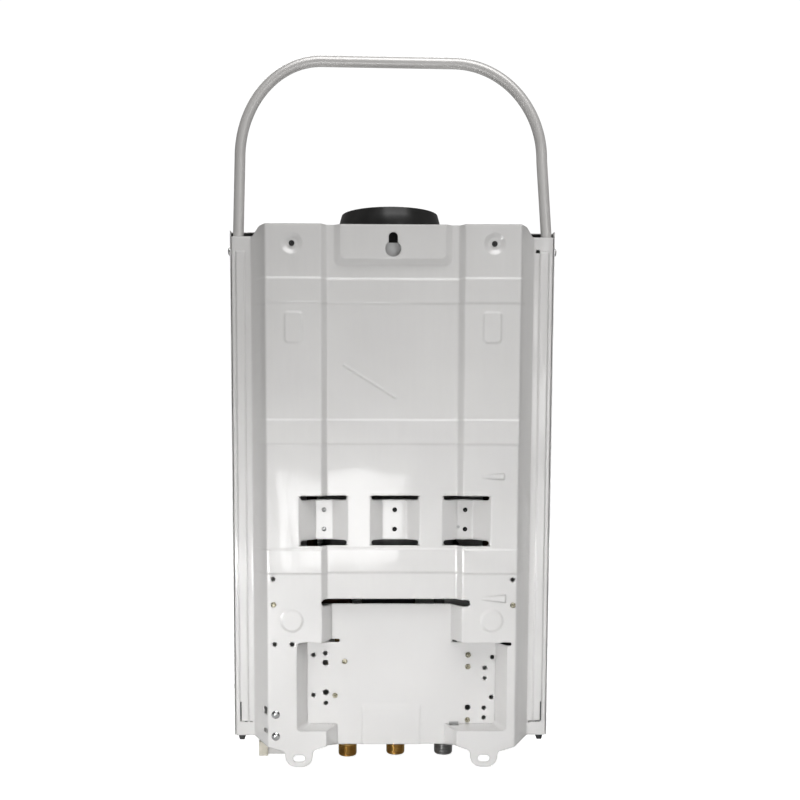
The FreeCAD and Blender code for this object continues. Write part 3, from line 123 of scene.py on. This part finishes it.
# Floor in metres, and how bright the floor and the room are to the camera and to the heater
floor_size = 30.0
floor_gap = 0.0005
floor_seen = 0.95
floor_fill = 0.1
backdrop_seen = 1.05
room_fill = 0.16

# Fine finish shared by the materials
coat_roughness = 0.08
enamel_roughness = 0.34
enamel_coat_roughness = 0.06
enamel_bend = 0.0026
peel_depth = 0.000012


# Materials

def new_material(name):
    material = bpy.data.materials.new(name)
    material.use_nodes = True
    return material, material.node_tree.nodes, material.node_tree.links


def object_noise(nodes, links, scale, detail=3.0, stretch=(1.0, 1.0, 1.0)):
    """Noise in the piece's own metres."""
    place = nodes.new("ShaderNodeTexCoord")
    turn = nodes.new("ShaderNodeMapping")
    turn.inputs["Scale"].default_value = stretch
    noise = nodes.new("ShaderNodeTexNoise")
    noise.inputs["Scale"].default_value = scale
    noise.inputs["Detail"].default_value = detail
    links.new(place.outputs["Object"], turn.inputs["Vector"])
    links.new(turn.outputs["Vector"], noise.inputs["Vector"])
    return noise


def ramp_between(nodes, links, source, low, high, start=0.35, end=0.65):
    """Colours from low to high as the source goes from start to end."""
    ramp = nodes.new("ShaderNodeValToRGB")
    ramp.color_ramp.elements[0].position = start
    ramp.color_ramp.elements[1].position = end
    ramp.color_ramp.elements[0].color = (*low, 1.0)
    ramp.color_ramp.elements[1].color = (*high, 1.0)
    links.new(source, ramp.inputs["Fac"])
    return ramp


def soft_edges(nodes, radius):
    """Normals rounded over the pressed bends and edges."""
    bevel = nodes.new("ShaderNodeBevel")
    bevel.samples = 4
    bevel.inputs["Radius"].default_value = radius
    return bevel.outputs["Normal"]


def add_bump(nodes, links, source, distance, under=None):
    """Relief of the given depth in metres, laid over the normal under it."""
    bump = nodes.new("ShaderNodeBump")
    bump.inputs["Strength"].default_value = 1.0
    bump.inputs["Distance"].default_value = distance
    links.new(source, bump.inputs["Height"])
    if under:
        links.new(under, bump.inputs["Normal"])
    return bump.outputs["Normal"]


def finish_of(name, low, high, roughness, metallic=0.0, scale=60.0, stretch=(1.0, 1.0, 1.0), bump=0.0,
              coat=0.0, edge=0.0):
    """Finish that wanders between two colours, with optional grain, clear coat and eased edges."""
    material, nodes, links = new_material(name)
    shader = nodes["Principled BSDF"]
    shader.inputs["Roughness"].default_value = roughness
    shader.inputs["Metallic"].default_value = metallic
    shader.inputs["Coat Weight"].default_value = coat
    shader.inputs["Coat Roughness"].default_value = coat_roughness
    noise = object_noise(nodes, links, scale, stretch=stretch)
    colour = ramp_between(nodes, links, noise.outputs["Fac"], low, high)
    links.new(colour.outputs["Color"], shader.inputs["Base Color"])
    normal = soft_edges(nodes, edge) if edge else None
    if bump:
        normal = add_bump(nodes, links, noise.outputs["Fac"], bump, normal)
    if normal:
        links.new(normal, shader.inputs["Normal"])
    return material


def enamel(name, low, high, wave):
    """Glossy white enamel on thin sheet: soft bends, slow and drawn waviness, and a faint orange peel."""
    material, nodes, links = new_material(name)
    shader = nodes["Principled BSDF"]
    shader.inputs["Roughness"].default_value = enamel_roughness
    shader.inputs["Specular IOR Level"].default_value = 0.7
    shader.inputs["Coat Weight"].default_value = 1.0
    shader.inputs["Coat Roughness"].default_value = enamel_coat_roughness
    blotch = object_noise(nodes, links, 9.0, 4.0)
    colour = ramp_between(nodes, links, blotch.outputs["Fac"], low, high)
    links.new(colour.outputs["Color"], shader.inputs["Base Color"])
    wavy = object_noise(nodes, links, 14.0, 2.0, stretch=(1.0, 1.0, 0.45))
    drawn = object_noise(nodes, links, 55.0, 2.0, stretch=(1.0, 1.0, 0.2))
    peel = object_noise(nodes, links, 900.0, 1.0)
    normal = add_bump(nodes, links, wavy.outputs["Fac"], wave, soft_edges(nodes, enamel_bend))
    normal = add_bump(nodes, links, drawn.outputs["Fac"], wave * 0.15, normal)
    normal = add_bump(nodes, links, peel.outputs["Fac"], peel_depth, normal)
    links.new(normal, shader.inputs["Normal"])
    links.new(normal, shader.inputs["Coat Normal"])
    return material


def pale_floor():
    """White floor that shows bright to the camera and lights the object only a little."""
    material, nodes, links = new_material("pale floor")
    shader = nodes["Principled BSDF"]
    shader.inputs["Base Color"].default_value = (0.6, 0.6, 0.6, 1)
    shader.inputs["Roughness"].default_value = 0.8
    glow = nodes.new("ShaderNodeEmission")
    glow.inputs["Strength"].default_value = floor_seen
    ray = nodes.new("ShaderNodeLightPath")
    seen = nodes.new("ShaderNodeMixShader")
    total = nodes.new("ShaderNodeAddShader")
    dark = nodes.new("ShaderNodeEmission")
    dark.inputs["Strength"].default_value = floor_fill
    links.new(ray.outputs["Is Camera Ray"], seen.inputs["Fac"])
    links.new(dark.outputs["Emission"], seen.inputs[1])
    links.new(glow.outputs["Emission"], seen.inputs[2])
    links.new(shader.outputs["BSDF"], total.inputs[0])
    links.new(seen.outputs["Shader"], total.inputs[1])
    links.new(total.outputs["Shader"], nodes["Material Output"].inputs["Surface"])
    return material


def rivet_steel_with_painted_shade():
    """Bright rivets at the left, and painted shade that makes the ones at the middle and right bridges
    nearly black.
    """
    material, nodes, links = new_material("rivet steel")
    shader = nodes["Principled BSDF"]
    shader.inputs["Roughness"].default_value = 0.34
    shader.inputs["Metallic"].default_value = 0.8
    place = nodes.new("ShaderNodeTexCoord")
    parts = nodes.new("ShaderNodeSeparateXYZ")
    links.new(place.outputs["Object"], parts.inputs["Vector"])
    # Painted shade: rivets at the middle and right bridges are coloured nearly black by their place across
    rivet_painted_shade = ramp_between(nodes, links, parts.outputs["X"], grey(0.015), grey(0.5),
                        rivets_painted_shade_to, rivets_bright_from)
    links.new(rivet_painted_shade.outputs["Color"], shader.inputs["Base Color"])
    grain = object_noise(nodes, links, 900.0)
    links.new(add_bump(nodes, links, grain.outputs["Fac"], 0.0002), shader.inputs["Normal"])
    return material


def grey(value, warmth=0.0):
    return (value + warmth, value, value - warmth)


def make_materials():
    """One finish for each material slot of the record."""
    return {
        "plate_enamel": enamel("plate enamel", grey(0.64, 0.008), grey(0.67, 0.008), 0.003),
        "cover_enamel": enamel("cover enamel", grey(0.78, 0.006), grey(0.81, 0.006), 0.0004),
        "handle_steel": finish_of("handle steel", grey(0.62, 0.012), grey(0.68, 0.012), 0.34, 0.3, 12.0),
        "screw_steel": finish_of("screw steel", grey(0.5), grey(0.64), 0.2, 1.0, 200.0, edge=0.0003),
        "zinc_yellow": finish_of("yellow zinc", (0.08, 0.07, 0.04), (0.66, 0.62, 0.48), 0.32, 0.8, 620.0,
                                 bump=0.0003),
        "black_steel": finish_of("black steel", grey(0.03), grey(0.06), 0.35, 0.6, 300.0),
        "rivet_steel": rivet_steel_with_painted_shade(),
        "seal_rubber": finish_of("seal rubber", grey(0.012), grey(0.02), 0.6, scale=150.0),
        "collar_black": finish_of("collar black", grey(0.012), grey(0.018), 0.28, scale=80.0, bump=0.00003,
                                  edge=0.0008),
        "hood_steel": finish_of("hood steel", grey(0.62), grey(0.74), 0.42, 0.6, scale=40.0),
        # Painted shade: copper coloured nearly black, so the parts seen through the slots stand in for the
        # dark inside the casing
        "copper": finish_of("copper", (0.05, 0.03, 0.022), (0.09, 0.05, 0.036), 0.5, 1.0, scale=60.0),
        "burner_steel": finish_of("burner steel", grey(0.1), grey(0.16), 0.5, 1.0, scale=60.0),
        # Painted shade: cast alloy coloured dark grey, far below its own colour, for the dark inside behind
        # the slots
        "cast_alloy": finish_of("cast alloy", grey(0.2), grey(0.26), 0.5, 0.9, 300.0, bump=0.00006),
        "brass_bright": finish_of("bright brass", (0.52, 0.33, 0.1), (0.68, 0.46, 0.17), 0.2, 1.0, 120.0,
                                  (1.0, 1.0, 4.0), 0.00004, edge=0.0006),
        # Painted shade: cast brass coloured at about half of brass's own tone, for the dark inside behind
        # the slots
        "brass_cast": finish_of("cast brass", (0.2, 0.14, 0.07), (0.28, 0.2, 0.1), 0.45, 1.0, 250.0,
                                bump=0.00006),
        "black_plastic": finish_of("black plastic", grey(0.012), grey(0.02), 0.4, scale=200.0, edge=0.0006),
        "bracket_steel": finish_of("bracket steel", grey(0.4), grey(0.5), 0.38, 0.95, scale=25.0),
        "fitting_grey": finish_of("grey fitting", grey(0.33), grey(0.42), 0.3, 1.0, 120.0,
                                  (1.0, 1.0, 4.0), 0.00004, edge=0.0006),
        "ceramic": finish_of("ceramic", grey(0.72, 0.01), grey(0.78, 0.01), 0.35, scale=80.0),
        "clear_glass": finish_of("smoked glass", grey(0.03), grey(0.04), 0.08, scale=20.0, coat=1.0),
        "white_plastic": finish_of("white plastic", grey(0.74, 0.015), grey(0.79, 0.015), 0.4, scale=60.0,
                                   edge=0.0008),
        "grip_beige": finish_of("beige grip", (0.72, 0.68, 0.57), (0.78, 0.74, 0.64), 0.45, scale=90.0),
        "cell_steel": finish_of("cell wrap", grey(0.05), grey(0.07), 0.35, scale=60.0),
    }


def dress_nodes(materials):
    """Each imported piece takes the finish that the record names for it."""
    for entry in frame["record"]["subparts"]:
        node = frame["nodes"][entry["node"]]
        node.data.materials.clear()
        node.data.materials.append(materials[entry["material_slot"]])


# Turned pieces: the flue collar and the three pipe ends

def turned(bm, profile, centre, steps):
    """Spins a closed profile of radius and height about an upright axis."""
    corners = [bm.verts.new((centre[0] + radius, centre[1], height)) for radius, height in profile]
    edges = [bm.edges.new((corners[index - 1], corner)) for index, corner in enumerate(corners)]
    bmesh.ops.spin(bm, geom=corners + edges, cent=(centre[0], centre[1], 0.0), axis=(0, 0, 1), steps=steps,
                   angle=math.tau, use_merge=True)


def finish_piece(bm, name, material, smooth_angle=35.0):
    """Closes the mesh, points it outwards and puts it on the casing."""
    bmesh.ops.remove_doubles(bm, verts=bm.verts, dist=1e-6)
    bmesh.ops.recalc_face_normals(bm, faces=bm.faces)
    for face in bm.faces:
        face.smooth = True
    for edge in bm.edges:
        if len(edge.link_faces) == 2 and edge.calc_face_angle() > math.radians(smooth_angle):
            edge.smooth = False
    mesh = bpy.data.meshes.new(name)
    bm.to_mesh(mesh)
    bm.free()
    piece = bpy.data.objects.new(name, mesh)
    bpy.context.scene.collection.objects.link(piece)
    piece.data.materials.append(material)
    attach(piece, casing)
    return piece


def node_axis(node):
    """Axis in plan, lowest height and highest height of an upright round node."""
    low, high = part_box(node)
    return ((low[0] + high[0]) / 2, (low[1] + high[1]) / 2), low[2], high[2]


def add_collar(material):
    """Rolled collar: a spigot through the cover, and a skirt that flares a little down to it."""
    centre, bottom, top = node_axis("flue_collar")
    cover = top - collar_rise
    spigot = collar_bore + collar_sheet
    profile = [(collar_bore, bottom), (spigot, bottom), (spigot, cover)]
    profile += [(skirt_foot - inset, cover + height) for inset, height in skirt_bends]
    rim = skirt_foot - rim_inset - rim_roll
    for index in range(rim_steps + 1):
        angle = math.radians(90.0 * index / rim_steps)
        profile.append((rim + rim_roll * math.cos(angle), top - rim_roll + rim_roll * math.sin(angle)))
    profile += [(collar_bore + lip_width, top - lip_drop), (collar_bore, top - lip_depth)]
    bm = bmesh.new()
    turned(bm, profile, centre, collar_facets)
    piece = finish_piece(bm, "rolled_flue_collar", material)
    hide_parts("flue_collar")


def thread_profile(end, top):
    """Thread ridges from the pipe's end up, as radius and height."""
    points = [(thread_crest - lead_in, end), (thread_crest - lead_step, end + lead_height)]
    count = int((top - end - 2 * lead_height) / thread_pitch)
    for index in range(count):
        height = end + lead_height + index * thread_pitch
        points += [(thread_crest - thread_depth, height + root_from * thread_pitch),
                   (thread_crest - thread_depth, height + root_to * thread_pitch),
                   (thread_crest, height + crest_from * thread_pitch),
                   (thread_crest, height + crest_to * thread_pitch)]
    return points


def add_pipe_end(node, material, grooved):
    """Threaded pipe end below a hexagon, with a spigot above that goes into the valve."""
    centre, end, top = node_axis(node)
    hexagon_top = top - spigot_height
    hexagon_low = hexagon_top - hexagon_height
    thread_top = hexagon_low - groove_below_hexagon if grooved else hexagon_low
    profile = [(pipe_bore, end + end_chamfer), (pipe_bore + end_chamfer, end)]
    profile += thread_profile(end, thread_top)
    if grooved:
        groove_top = thread_top + groove_height
        profile += [(thread_crest, thread_top), (groove_radius, thread_top), (groove_radius, groove_top),
                    (shoulder_radius, groove_top), (shoulder_radius, hexagon_low)]
    else:
        profile.append((thread_crest, hexagon_low))
    profile += [(thread_crest, top), (pipe_bore, top)]
    bm = bmesh.new()
    turned(bm, profile, centre, pipe_facets)
    nut = bmesh.ops.create_cone(bm, cap_ends=True, segments=6, radius1=hexagon_radius,
                                radius2=hexagon_radius, depth=hexagon_height)["verts"]
    bmesh.ops.translate(bm, verts=nut, vec=(centre[0], centre[1], hexagon_low + hexagon_height / 2))
    piece = finish_piece(bm, node.replace("fitting", "pipe_end"), material)
    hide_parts(node)


# Bent handle

def handle_bend(top, shoulder):
    """Quarter of an ellipse from the end of the level top round to the leg."""
    points = []
    for index in range(bend_steps + 1):
        angle = math.radians(90.0 * index / bend_steps)
        points.append((top[0] + (shoulder[0] - top[0]) * math.sin(angle),
                       shoulder[1] + (top[1] - shoulder[1]) * math.cos(angle)))
    return points


def handle_path():
    """Centre line from the left foot over the top to the right foot."""
    low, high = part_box("handle_tube")
    depth = (low[1] + high[1]) / 2
    left = handle_bend(handle_top_left, handle_shoulder_left)
    left += [(handle_foot, handle_foot_top), (handle_foot, low[2])]
    right = handle_bend(handle_top_right, handle_shoulder_right)
    right += [(-handle_foot, handle_foot_top), (-handle_foot, low[2])]
    return [Vector((across, depth, height)) for across, height in left[::-1] + right]


def add_handle(material):
    """Round bar swept along the handle's centre line, closed at its feet."""
    path = handle_path()
    wall = Vector((0, 1, 0))
    bm = bmesh.new()
    for index, point in enumerate(path):
        ahead = (path[min(index + 1, len(path) - 1)] - path[max(index - 1, 0)]).normalized()
        turn = Matrix((ahead.cross(wall), wall, ahead)).transposed().to_4x4()
        bmesh.ops.create_circle(bm, cap_ends=False, radius=handle_radius, segments=handle_facets,
                                matrix=Matrix.Translation(point) @ turn)
    bmesh.ops.bridge_loops(bm, edges=bm.edges[:])
    bmesh.ops.holes_fill(bm, edges=[edge for edge in bm.edges if edge.is_boundary])
    piece = finish_piece(bm, "bent_handle", material)
    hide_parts("handle_tube")


# Stage, light and camera

def add_floor(material):
    """Floor just under the hanging heater."""
    low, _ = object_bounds()
    bpy.ops.mesh.primitive_plane_add(size=floor_size, location=(0.0, 0.0, low[2] - floor_gap))
    floor = bpy.context.object
    floor.name = "floor"
    floor.data.materials.append(material)
    floor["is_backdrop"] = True


def add_area(name, place, target, size, power, spread=180.0):
    """Soft light of one size in metres, aimed at a target and hidden from the camera."""
    light = bpy.data.lights.new(name, "AREA")
    light.shape = "RECTANGLE"
    light.size, light.size_y = size
    light.energy = power
    light.spread = math.radians(spread)
    lamp = bpy.data.objects.new(name, light)
    bpy.context.scene.collection.objects.link(lamp)
    lamp.location = place
    lamp.rotation_euler = (Vector(target) - Vector(place)).to_track_quat("-Z", "Y").to_euler()
    lamp.visible_camera = False


def add_world():
    """White backdrop for the camera over a dimmer studio that lights the object."""
    world = bpy.data.worlds.new("studio")
    bpy.context.scene.world = world
    world.use_nodes = True
    nodes = world.node_tree.nodes
    links = world.node_tree.links
    room = nodes["Background"]
    room.inputs["Color"].default_value = (1, 0.99, 0.97, 1)
    room.inputs["Strength"].default_value = room_fill
    backdrop = nodes.new("ShaderNodeBackground")
    backdrop.inputs["Color"].default_value = (1, 1, 1, 1)
    backdrop.inputs["Strength"].default_value = backdrop_seen
    ray = nodes.new("ShaderNodeLightPath")
    mix = nodes.new("ShaderNodeMixShader")
    links.new(ray.outputs["Is Camera Ray"], mix.inputs["Fac"])
    links.new(room.outputs["Background"], mix.inputs[1])
    links.new(backdrop.outputs["Background"], mix.inputs[2])
    links.new(mix.outputs["Shader"], nodes["World Output"].inputs["Surface"])


def add_lights():
    """A small window for the glare, two lights from the sides, and soft light from above."""
    add_world()
    add_area("window", (0.065, 0.55, -0.345), (0.065, 0.0, -0.345), (0.19, 0.15), 0.42)
    add_area("low side", (0.5, 1.0, -0.5), (-0.05, 0.0, -0.52), (0.4, 0.1), 0.7, 60.0)
    add_area("right edge", (-0.44, 1.1, -0.1), (-0.16, 0.0, -0.3), (0.16, 0.9), 1.2)
    add_area("high front", (-0.25, 0.95, 1.45), (0.0, 0.0, -0.2), (1.6, 1.2), 22)
    add_area("front side", (0.25, -1.4, 1.3), (0, 0, -0.25), (1.2, 1.2), 14)


def add_camera():
    """Camera at the heater's middle height, facing the wall side and tilted down a little."""
    data = bpy.data.cameras.new("photo view")
    data.sensor_fit = "HORIZONTAL"
    data.sensor_width = 36.0
    data.lens = focal_pixels * data.sensor_width / photo_size
    data.shift_x = (photo_size / 2 - view_centre[0]) / photo_size
    data.shift_y = (view_centre[1] - photo_size / 2) / photo_size
    camera = bpy.data.objects.new("photo view", data)
    bpy.context.scene.collection.objects.link(camera)
    level = math.cos(camera_pitch)
    forward = Vector((math.sin(camera_yaw) * level, -math.cos(camera_yaw) * level, -math.sin(camera_pitch)))
    right = forward.cross(Vector((0, 0, 1))).normalized()
    up = right.cross(forward)
    heading = Matrix((right, up, -forward)).transposed() @ Matrix.Rotation(camera_roll, 3, "Z")
    camera.matrix_world = Matrix.Translation(camera_place) @ heading.to_4x4()
    bpy.context.scene.camera = camera


def set_view():
    """Plain colours, as a product picture has."""
    view = bpy.context.scene.view_settings
    view.view_transform = "Standard"
    view.look = "None"
    view.exposure = 0.0


materials = make_materials()
dress_nodes(materials)
add_collar(materials["collar_black"])
add_pipe_end("gas_inlet_fitting", materials["fitting_grey"], False)
add_pipe_end("hot_outlet_fitting", materials["brass_bright"], False)
add_pipe_end("cold_inlet_fitting", materials["brass_bright"], True)
add_handle(materials["handle_steel"])
add_floor(pale_floor())
add_lights()
add_camera()
set_view()
